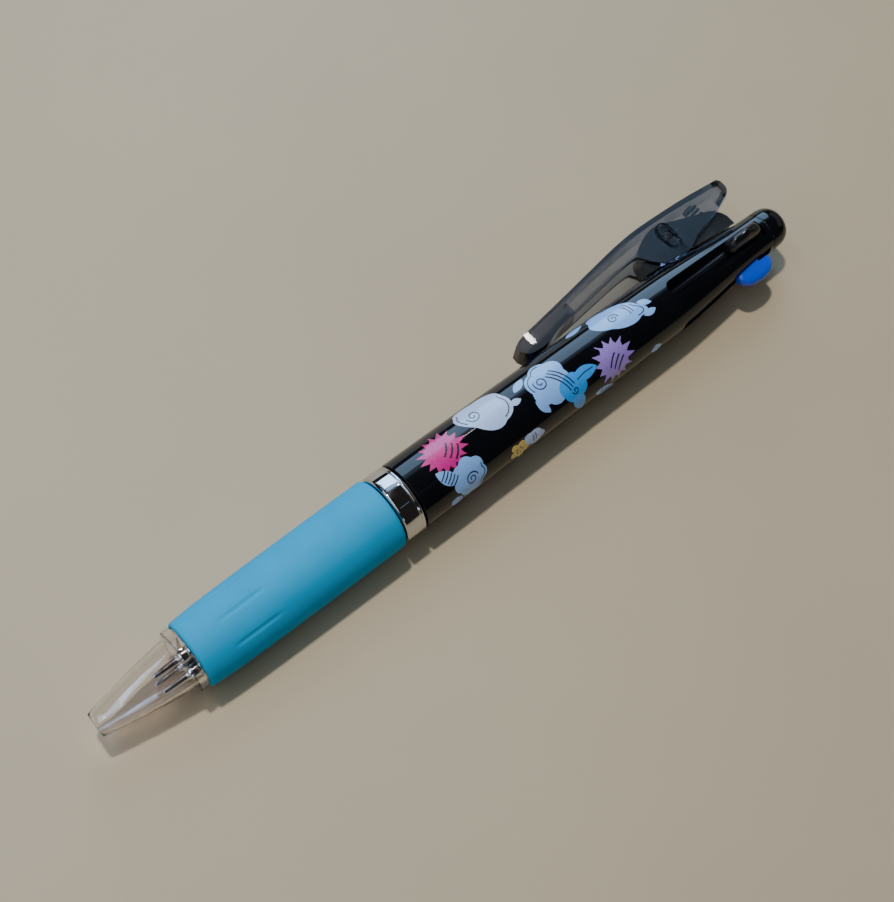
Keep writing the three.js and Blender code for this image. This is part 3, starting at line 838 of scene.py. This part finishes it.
CLIP_TOP = [
    (89.8, 8.8), (91.8, 9.5), (98.6, 10.4), (103.8, 11.1), (109, 11.82), (113.2, 12.38),
    (117.2, 12.82), (122, 13.07), (131.4, 12.75), (140.3, 12),
]
CLIP_EAR = [
    (140.75, 11.4), (140.4, 9.5), (138, 7.85), (133.3, 6.6), (129.1, 5.6), (126.8, 4.5),
    (124, 3.8), (121.2, 4.15), (118.9, 6.2), (117.7, 8.1),
]
CLIP_FOOT = [
    (116.4, 8.8), (110.6, 8.35), (101.4, 7.3), (98, 6.9), (95.6, 6.15), (94.2, 5.95),
    (92.2, 5.95), (90.6, 6.4), (89.7, 7.6),
]
CLIP_PLAN = [
    (89, 2), (90.6, 2.5), (96, 2.75), (104, 3.1), (112, 3.5), (118, 3.9), (132, 3.9),
    (139, 3.65), (141, 3.3),
]
CLIP_WALL = 1.15
CHANNEL_TOP = [
    (102.2, 9.6), (103, 10.2), (113, 11.5), (120.6, 12.1), (127, 12.1), (132.5, 11.7),
    (139.6, 11.1),
]
MOUNT_TOP = [
    (117.8, 7.4), (118.6, 9.4), (120.7, 10.75), (123.7, 11.6), (126.2, 11.2), (129.9, 9.8),
    (132.6, 8.85), (134.9, 7.9), (136.4, 6.9), (137, 5.6),
]
DEEP = 30.0  # reaches right through the clip
PIN_SIDES = 48
PIN_HOLE_R = 0.9
COIL_X, COIL_FOOT, COIL_HEAD = 133.4, 6.5, 11.3  # where the clip's spring stands
COIL_WIRE = 0.2


def width_block(inset=0.0):
    """The clip's plan as a block."""
    near = [(x, half - inset) for x, half in smooth(CLIP_PLAN, 9)]
    outline = [*near, *[(x, -half) for x, half in reversed(near)]]
    return plate("width", outline, DEEP, upright=True)


def barrel_room(start, clearance):
    """Makes room for the barrel behind a place."""
    line = [(x, r + clearance) for x, r in BARREL_CURVE if x > start]
    return turned("room", [(line[0][0], 0.0), *line, (BARREL_END, 0.0)])


def pin_hole():
    """Cuts the hinge pin's hole."""
    return plate("hole", arc(PIVOT, PIN_HOLE_R, 0, 360 - 360 / PIN_SIDES, PIN_SIDES - 1), DEEP)


WALL_DRAFT = 0.027  # of their half width, for each mm of height


def draft(piece):
    """The moulding's walls lean in towards the top."""
    for vertex in piece.data.vertices:
        x, y, z = vertex.co
        vertex.co = (x, y, z * (1 - WALL_DRAFT * max(y - CLIP_EAR[6][1], 0.0)))


def racetrack(half_width, half_length, steps=14):
    """A long rounded outline that stands across the pen, round the hinge."""
    centre_x, centre_y = PIVOT[0] - 0.3, PIVOT[1] - 0.2
    straight = half_length - half_width
    return [
        *arc((centre_x, centre_y + straight), half_width, 0, 180, steps),
        *arc((centre_x, centre_y - straight), half_width, 180, 360, steps),
    ]


def pivot_rim(side):
    """A raised rim round the hinge on the clip's wall."""
    rim = plate("rim", racetrack(1.4, 2.8), 0.8)
    combine(rim, plate("rim_hole", racetrack(0.95, 2.35), 2.0))
    rim.data.transform(Matrix.Translation((0, 0, side * 3.3)))
    return rim


def lever():
    """The smoke-clear clip: a channel over the mount, solid at its nose."""
    outline = [*smooth(CLIP_TOP, 10), *smooth([*CLIP_EAR, *CLIP_FOOT], 8)]
    piece = plate("clip_channel", outline, DEEP)
    combine(piece, width_block(), "INTERSECT")
    channel = [*smooth(CHANNEL_TOP, 8), (CHANNEL_TOP[-1][0], 0.0), (CHANNEL_TOP[0][0], 0.0)]
    hollow = combine(plate("hollow", channel, DEEP), width_block(CLIP_WALL), "INTERSECT")
    combine(piece, hollow)
    combine(piece, barrel_room(112, 0.4))
    combine(piece, pin_hole())
    draft(piece)
    bevel(piece, 0.2, 3)
    for side in (-1, 1):
        combine(piece, pivot_rim(side), "UNION")
    weld(piece)
    settle(piece, SMOKE, "clip", "clip_lever", weighted=True)


def mount():
    """The black mount: its underside follows the barrel, and a spring stands in its pocket."""
    outline = [(117.6, 0.0), *smooth(MOUNT_TOP, 10), (MOUNT_TOP[-1][0], 0.0)]
    piece = plate("clip_saddle", outline, 4.2)
    combine(piece, barrel_room(100, 0.3))
    bevel(piece, 0.3, 4)
    pocket = turned("pocket", [(6.4, 0.0), (6.4, 1.65), (14.0, 1.65), (14.0, 0.0)], PIN_SIDES)
    pocket.data.transform(Matrix.Translation((COIL_X, 0, 0)) @ Matrix.Rotation(pi / 2, 4, "Z"))
    combine(piece, pocket)
    combine(piece, pin_hole())
    settle(piece, MOUNT_BLACK, "barrel", "clip_mount", weighted=True)


def pivot_boss():
    """The glossy oval boss that the hinge turns on, seen through the clip's wall."""
    piece = bevel(plate("pivot_boss", racetrack(1.15, 2.5), 4.66), 0.12, 3)
    combine(piece, pin_hole())
    settle(piece, BLACK_GLOSS, "barrel", weighted=True)


def pin():
    """The hinge pin, across the pen."""
    half, radius = 3.3, 0.75
    outline = eased([
        (-half, 0, 0), (-half, radius), (half, radius), (half, 0, 0),
    ], 0.15, 4)
    piece = turned("hinge_pin", outline, PIN_SIDES)
    piece.data.transform(Matrix.Translation((*PIVOT, 0)) @ Matrix.Rotation(pi / 2, 4, "Y"))
    settle(piece, MOUNT_BLACK, "barrel", "clip_pin")


def clip_spring():
    """The coil under the clip's ear, standing in the mount's pocket."""
    height = COIL_HEAD - COIL_FOOT
    line = coil_path(1.25, COIL_WIRE, height, 6)
    path = [(COIL_X + z, COIL_FOOT + x, y) for x, y, z in line]
    piece = tube("clip_coil", path, COIL_WIRE, 14)
    settle(piece, DARK_STEEL, "barrel", "clip_spring")
    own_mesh(piece)


# ---- printed motifs ----


FILM_LIFT = 0.018  # of a film's top above the barrel
FILM_STEP = 0.003  # between neighbouring shapes, which can overlap
FILM_DEPTH = 0.012


def film(name, colour, places, lift=FILM_LIFT):
    """Thin patches on the barrel. A place is (x, degrees, outlines in mm round their middle)."""
    points, faces = [], []
    shapes = [(x, angle, outline) for x, angle, *outlines in places for outline in outlines]
    for order, (x, angle, outline) in enumerate(shapes):
        filled = fill(outline)
        count = len(filled[0])
        top = lift + FILM_STEP * (order % 3)
        for height in (top, top - FILM_DEPTH):
            base = len(points)
            for u, v in filled[0]:
                radius = barrel_radius(x + u)
                turn = radians(angle) + v / radius
                reach_out = radius + height
                points.append((x + u, -reach_out * sin(turn), reach_out * cos(turn)))
            faces += [[base + i for i in face] for face in filled[1]]
        base = len(points) - 2 * count
        faces += [(base + a, base + b, base + count + b, base + count + a) for a, b in filled[2]]
    piece = solid(f"print_{name}", points, faces)
    settle(piece, PRINTS[colour], "barrel", sharp=60)


def fill(outline, grid=0.55):
    """Triangles inside an outline, with points between so that they can follow the barrel."""
    corners = [Vector(p) for p in outline]
    count = len(corners)
    low = [min(p[i] for p in corners) for i in (0, 1)]
    high = [max(p[i] for p in corners) for i in (0, 1)]
    inner = []
    u = low[0] + grid / 2
    while u < high[0]:
        v = low[1] + grid / 2
        while v < high[1]:
            if inside((u, v), corners):
                inner.append(Vector((u, v)))
            v += grid
        u += grid
    edges = [(k, (k + 1) % count) for k in range(count)]
    made = delaunay_2d_cdt(corners + inner, edges, [list(range(count))], 1, 1e-6)
    return made[0], made[2], edges_of_rim(made[2])


def edges_of_rim(faces):
    """The edges that belong to one face only."""
    seen = {}
    for face in faces:
        for a, b in zip(face, [*face[1:], face[0]]):
            seen[frozenset((a, b))] = None if frozenset((a, b)) in seen else (a, b)
    return [edge for edge in seen.values() if edge]


def inside(spot, corners):
    """Whether a spot lies inside an outline."""
    u, v = spot
    odd = False
    for a, b in zip(corners, [*corners[1:], corners[0]]):
        if (a[1] > v) != (b[1] > v) and u < a[0] + (v - a[1]) * (b[0] - a[0]) / (b[1] - a[1]):
            odd = not odd
    return odd


def tilted(u, v, tilt, centre=(0.0, 0.0)):
    """The point (u, v), turned by the tilt and moved to its centre."""
    return (
        centre[0] + u * cos(tilt) - v * sin(tilt),
        centre[1] + u * sin(tilt) + v * cos(tilt),
    )


def burst(spikes, outer, inner, lean=0.0):
    """A spiky star; the spikes are uneven in a regular way."""
    outline = []
    for k in range(2 * spikes):
        radius = inner if k % 2 else outer * (1 + 0.07 * cos(2.4 * k))
        turn = pi * k / spikes + lean
        outline.append((radius * cos(turn), radius * sin(turn)))
    return outline


def cloud(long, wide, lobes, depth=0.16, tilt=0.0, taper=0.0, steps=96):
    """A rounded cloud: an oval with scalloped lobes, which can taper towards its far end."""
    outline = []
    for k in range(steps):
        turn = 2 * pi * k / steps
        scale = 1 - depth + depth * abs(cos(lobes * turn / 2))
        u = long * scale * cos(turn)
        v = wide * scale * sin(turn) * (1 - taper * cos(turn))
        outline.append(tilted(u, v, tilt))
    return outline


def leaf(length, width, tilt=0.0, centre=(0.0, 0.0), steps=24):
    """A pointed leaf or feather."""
    outline = []
    for side in (1, -1):
        for k in range(steps):
            t = k / steps if side == 1 else 1 - k / steps
            u, v = length * (t - 0.5), side * width / 2 * sin(pi * t) ** 0.8
            outline.append(tilted(u, v, tilt, centre))
    return outline


def stroke(path, width=0.16):
    """A pen line along a path."""
    left, right = [], []
    for k, here in enumerate(path):
        a, b = Vector(path[max(k - 1, 0)]), Vector(path[min(k + 1, len(path) - 1)])
        side = (b - a).normalized().orthogonal() * width / 2
        left.append(tuple(Vector(here) + side))
        right.append(tuple(Vector(here) - side))
    return [*left, *reversed(right)]


def stripes(count, step, length, bend=0.25, width=0.2, tilt=0.0, centre=(0.0, 0.0)):
    """Parallel bent strokes, as on a shell."""
    lines = []
    for k in range(count):
        u = (k - (count - 1) / 2) * step
        path = []
        for i in range(9):
            t = i / 4 - 1
            path.append(tilted(u + bend * (1 - t * t), t * length / 2, tilt, centre))
        lines.append(stroke(path, width))
    return lines


def swirl(size, turns=1.6, start=0.0, centre=(0.0, 0.0)):
    """A spiral stroke."""
    path = []
    for k in range(29):
        t = k / 28
        turn = start + 2 * pi * turns * t
        radius = size * (0.16 + 0.84 * t)
        path.append((centre[0] + radius * cos(turn), centre[1] + radius * sin(turn)))
    return stroke(path, 0.19)


def dots(count, size, radius):
    """A ring of small round dots."""
    turns = [2 * pi * k / count for k in range(count)]
    return [arc((radius * cos(a), radius * sin(a)), size, 0, 324, 9) for a in turns]


def rim_line(outline, start, end, inset=0.86):
    """A stroke that follows part of an outline, just inside it."""
    count = len(outline)
    path = [outline[int(start * count + k) % count] for k in range(int((end - start) * count))]
    return stroke([(u * inset, v * inset) for u, v in path], 0.17)


def prints():
    """Generic motifs where the photo has pictures: clouds, leaves, flowers and bursts."""
    pebble = cloud(5.2, 3.7, 5, 0.10, 0.5, -0.22)
    shell = cloud(3.3, 3.5, 7, 0.12, 0.3)
    puff = cloud(4.0, 4.2, 6, 0.13, 0.5)
    drift = cloud(5.6, 2.8, 5, 0.12, 0.42, 0.2)
    long_burst = [(1.12 * u, v) for u, v in burst(16, 3.9, 2.7)]
    film("burst_pink", "pink", [(66.4, -6, long_burst)])
    film("burst_purple", "purple", [(100.2, 41, burst(14, 4.1, 2.8, 0.2))])
    film("clouds_white", "white", [
        (88.0, 4, puff, leaf(3.4, 1.5, 1.1, (-3.2, 2.9)), leaf(3.2, 1.4, 2.7, (-4.3, -2.6))),
        (67.9, 52, shell, leaf(4.6, 2.3, 0.9, (-3.5, -2.1))),
        (64.4, 78, cloud(1.2, 0.8, 3, 0.1)),
        (105.6, -20, drift, leaf(2.6, 1.2, 0.6, (5.4, 1.0)), leaf(2.6, 1.2, 0.0, (5.0, 3.0))),
        (98.6, -52, leaf(4.2, 1.7, -0.2)),
        (97.2, 86, leaf(4.8, 1.9, 0.35)),
        (109.2, 80, cloud(1.2, 0.9, 4)),
        (82.5, 150, cloud(4.2, 3.0, 6, 0.14, 0.3)),
        (104.5, 205, cloud(4.4, 2.9, 7, 0.14, -0.4)),
        (67.0, 215, cloud(4.2, 3.0, 6, 0.12, 0.5)),
    ])
    film("clouds_cream", "cream", [
        (76.0, -23, pebble, leaf(2.2, 1.2, 0.1, (5.3, 2.3))),
        (81.2, 68, cloud(2.3, 1.5, 5, 0.16, 0.2)),
        (94.0, 160, cloud(3.6, 2.4, 6, 0.14, 0.8)),
    ])
    film("leaves_sky", "sky", [
        (91.2, 36, cloud(2.7, 2.5, 4, 0.1, 0.4), leaf(4.8, 2.5, 1.35, (0.2, 2.9))),
        (91.2, 36, leaf(5.2, 2.4, 0.1, (3.0, -0.9))),
        (77.0, 195, leaf(6.0, 2.6, -0.5)),
        (115.0, 150, leaf(5.0, 2.2, 0.6)),
    ], 0.034)
    film("flower_yellow", "yellow", [
        (77.9, 72, cloud(2.0, 1.8, 5, 0.34, 0.3)),
        (88.0, 215, cloud(2.4, 2.0, 5, 0.3)),
    ], 0.03)
    film("burst_pink_far", "pink", [(112.5, 238, burst(14, 3.0, 2.1))])
    film("burst_purple_far", "purple", [(71.5, 140, burst(16, 3.4, 2.4))])
    film("lines", "line", [
        (66.4, -6, *stripes(3, 0.95, 2.6, 0.2, 0.3, 0.75, (1.1, 0.7))),
        (100.2, 41, *stripes(3, 0.95, 2.7, -0.2, 0.26, 0.75, (0.4, 0.5))),
        (88.0, 4, swirl(1.3, 1.5, 0.6, (-1.2, -0.6)), rim_line(puff, 0.42, 0.72)),
        (88.0, 4, *stripes(3, 0.62, 5.0, 0.4, 0.2, -0.5, (1.9, 0.9))),
        (91.2, 36, swirl(0.7, 1.2, 2.0, (0.1, 0.6))),
        (91.2, 36, stroke([(1.2, -0.7), (3.0, -1.0), (4.8, -0.9)])),
        (67.9, 52, swirl(1.25, 1.6, 2.4, (0.2, 0.5)), rim_line(shell, 0.9, 1.15)),
        (67.9, 52, *stripes(5, 0.6, 1.9, 0.1, 0.2, 0.9, (-3.3, -2.0))),
        (105.6, -20, swirl(1.05, 1.5, 3.4, (-0.9, 0.1)), rim_line(drift, 0.86, 1.12)),
        (105.6, -20, *stripes(2, 0.6, 2.4, 0.2, 0.17, -0.2, (2.2, 0.1))),
        (76.0, -23, swirl(1.3, 1.5, 0.2, (-1.6, -0.2)), rim_line(pebble, 0.88, 1.1)),
        (76.0, -23, rim_line(pebble, 0.36, 0.56)),
        (77.9, 72, *dots(5, 0.16, 0.62)),
        (81.2, 68, *stripes(2, 0.55, 1.5, 0.15, 0.16)),
        (97.2, 86, *stripes(3, 0.8, 1.2, 0.1, 0.16, 0.35)),
        (82.5, 150, swirl(1.3, 1.6)),
        (104.5, 205, swirl(1.2, 1.6, 1.0)),
        (67.0, 215, swirl(1.2, 1.5, 2.0)),
        (94.0, 160, *stripes(3, 0.6, 2.2)),
    ], 0.052)


# ---- table, light and camera ----


GRIP_REST_X, KNOB_REST_X = 50, 134.3  # where the grip and the red knob touch the table
TABLE_HALF = 1.2  # metres


def table_top():
    """A plain pale table. It tilts by half a degree, so that grip and red knob both touch it."""
    grip_low, knob_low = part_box("grip_sleeve")[0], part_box("slider_red")[0]
    rest = Vector((KNOB_REST_X * MM + NOSE.x, 0, knob_low.z))
    lean = math.atan2(grip_low.z - rest.z, rest.x - (GRIP_REST_X * MM + NOSE.x))
    corners = [(TABLE_HALF * x, TABLE_HALF * y, 0) for x, y in ((-1, -1), (1, -1), (1, 1), (-1, 1))]
    mesh = bpy.data.meshes.new("table")
    mesh.from_pydata(corners, [], [(0, 1, 2, 3)])
    floor = show("table", mesh)
    floor.location = rest
    floor.rotation_euler = (0, lean, 0)
    nodes = Nodes("table")
    nodes.drift(60, (0.505, 0.395, 0.245), (0.475, 0.37, 0.228), 4)
    nodes.set(Roughness=0.55)
    mesh.materials.append(nodes.material)


def across(degrees, lean=0.33):
    """A direction, in degrees from up towards the clip; lean is its part along the pen."""
    turn = radians(degrees)
    rest = math.sqrt(1 - lean**2)
    return Vector((lean, rest * sin(turn), rest * cos(turn)))


def soften(light, fade):
    """Lets a softbox grow dark towards its far end, from the share `fade` of its length on."""
    light.use_nodes = True
    tree = light.node_tree
    nodes = tree.nodes
    place_on = nodes.new("ShaderNodeNewGeometry")
    parts = nodes.new("ShaderNodeSeparateXYZ")
    fall = nodes.new("ShaderNodeMapRange")
    fall.interpolation_type = "SMOOTHSTEP"
    set_range(fall, fade, 1.0, 1.0, 0.0)
    tree.links.new(place_on.outputs["Parametric"], parts.inputs[0])
    tree.links.new(parts.outputs["X"], fall.inputs["Value"])
    tree.links.new(fall.outputs["Result"], nodes["Emission"].inputs["Strength"])


def panel(name, start, end, width, glow, colour, seen_from=72.5, distance=0.9, fade=None):
    """A softbox between two directions, seen from a place on the pen; glow is its brightness."""
    middle = place(seen_from)
    a, b = middle + Vector(start) * distance, middle + Vector(end) * distance
    long_side = (b - a).normalized()
    aim = ((a + b) / 2 - middle).normalized()
    side = long_side.cross(aim).normalized()
    light = bpy.data.lights.new(name, "AREA")
    light.shape = "RECTANGLE"
    light.size, light.size_y = (b - a).length, width
    light.energy = glow * pi * (b - a).length * width
    light.color = colour
    if fade is not None:
        soften(light, fade)
    shown = show(name, light)
    back = long_side.cross(side)
    if back.dot(aim) < 0:
        back, side = -back, -side
    turn = Matrix((long_side, side, back)).transposed().to_4x4()
    shown.matrix_world = Matrix.Translation((a + b) / 2) @ turn


DAY = (0.43, 0.67, 1.0)
LAMP_WHITE = (1.0, 0.97, 0.93)


def lights():
    """A small key and a long skylight overhead; the rest is mostly for the gloss to mirror."""
    panel("key", across(16.0, 0.0), across(19.2, 0.0), 0.05, 590, LAMP_WHITE, distance=0.8)
    panel("skylight", (-0.34, -0.27, 0.90), (-0.12, 0.73, 0.67), 0.07, 9, DAY, 5, 0.8)
    panel("glint", (0.336, 0.405, 0.852), (0.359, 0.405, 0.848), 0.009, 70, LAMP_WHITE, 93.27, 0.8)
    panel("side_window", (-0.32, -0.90, 0.27), (-0.15, -0.92, 0.36), 0.1, 7, DAY, 5, 0.8)
    panel("window", across(77, 0.44), across(36, 0.44), 0.5, 5.0, DAY)
    panel("window_top", across(36, 0.44), across(20, 0.44), 0.5, 1.2, DAY, fade=0.2)
    panel("tube_left", across(-34.0, 0.28), across(-34.6, 0.28), 0.16, 0.5, DAY, 58)
    panel("tube_right", across(-35.4, 0.28), across(-36.0, 0.28), 0.16, 0.5, DAY, 58)
    panel("fill_front", (-0.95, 0, 0.3), (-0.55, 0, 0.83), 1.0, 0.8, LAMP_WHITE)
    panel("fill_rear", (0.98, 0, 0.2), (0.8, 0, 0.6), 1.0, 0.3, LAMP_WHITE)
    world = bpy.data.worlds.new("studio")
    bpy.context.scene.world = world
    world.use_nodes = True
    sky = world.node_tree.nodes["Background"]
    sky.inputs["Color"].default_value = (1.0, 0.94, 0.86, 1)
    sky.inputs["Strength"].default_value = 0.02


SENSOR_MM = 36
FOCAL_PX, PHOTO_PX = 1460, 902  # the fitted camera's, and the photo's longer side
CAMERA_PLACE = (-8.598, -57.735, 215.059)


def camera():
    """At the photo's angle: above the pen and a little ahead of its nose."""
    data = bpy.data.cameras.new("camera")
    data.sensor_width = SENSOR_MM
    data.lens = SENSOR_MM * FOCAL_PX / PHOTO_PX
    data.clip_start, data.clip_end = 0.01, 10
    right = Vector((0.76041, -0.64221, 0.09671))
    up = Vector((0.56001, 0.72378, 0.40315))
    back = right.cross(up)
    turn = Matrix((right, up, back)).transposed().to_4x4()
    cam = show("camera", data)
    cam.matrix_world = Matrix.Translation(place(*CAMERA_PLACE)) @ turn
    bpy.context.scene.camera = cam


# ---- the whole pen ----

clear_front()
grip()
ring()
coupling()
barrel()
end_cap()
for one_colour in COLOURS.items():
    for part in (slider, point, refill, return_spring):
        part(*one_colour)
lever()
mount()
pivot_boss()
pin()
clip_spring()
prints()

for node, finish in {"spring_seat": WHITE, "slider_guide": BLACK_MATT}.items():
    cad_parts[node].data.materials.clear()
    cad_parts[node].data.materials.append(finish)

table_top()
lights()
camera()
